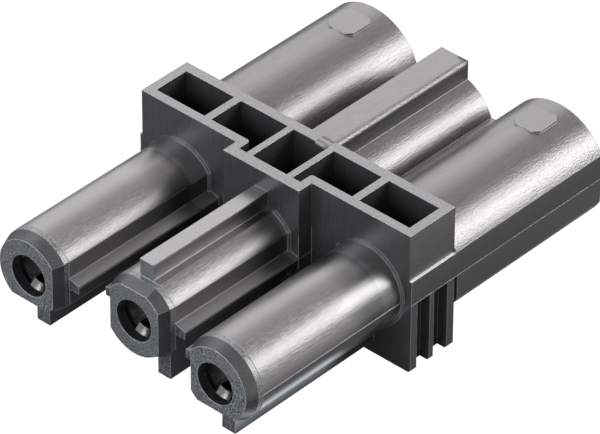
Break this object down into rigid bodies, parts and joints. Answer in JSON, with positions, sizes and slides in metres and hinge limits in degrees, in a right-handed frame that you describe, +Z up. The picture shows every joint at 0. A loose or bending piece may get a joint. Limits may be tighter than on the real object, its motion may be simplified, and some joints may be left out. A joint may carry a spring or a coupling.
{
  "type": "inline cable coupler",
  "caption": "Pole-by-pole inline coupler in black plastic: coded socket barrels in front of a ribbed block, joined pin shells behind, with contacts running straight through.",
  "frame": {"origin": "middle of the coupler's width and length, on the surface that the block stands on", "axes": "+X across the poles, +Y from the socket barrels to the pin shells, +Z up"},
  "size_m": [0.0408, 0.0564, 0.0186],
  "materials": {
    "housing_plastic": "satin black moulded polyamide with spark-eroded tips",
    "contact_metal": "tin-plated turned contacts"
  },
  "bodies": {
    "root": {"housing": "housing_plastic", "left_contact": "contact_metal", "earth_contact": "contact_metal", "right_contact": "contact_metal"}
  },
  "joints": []
}
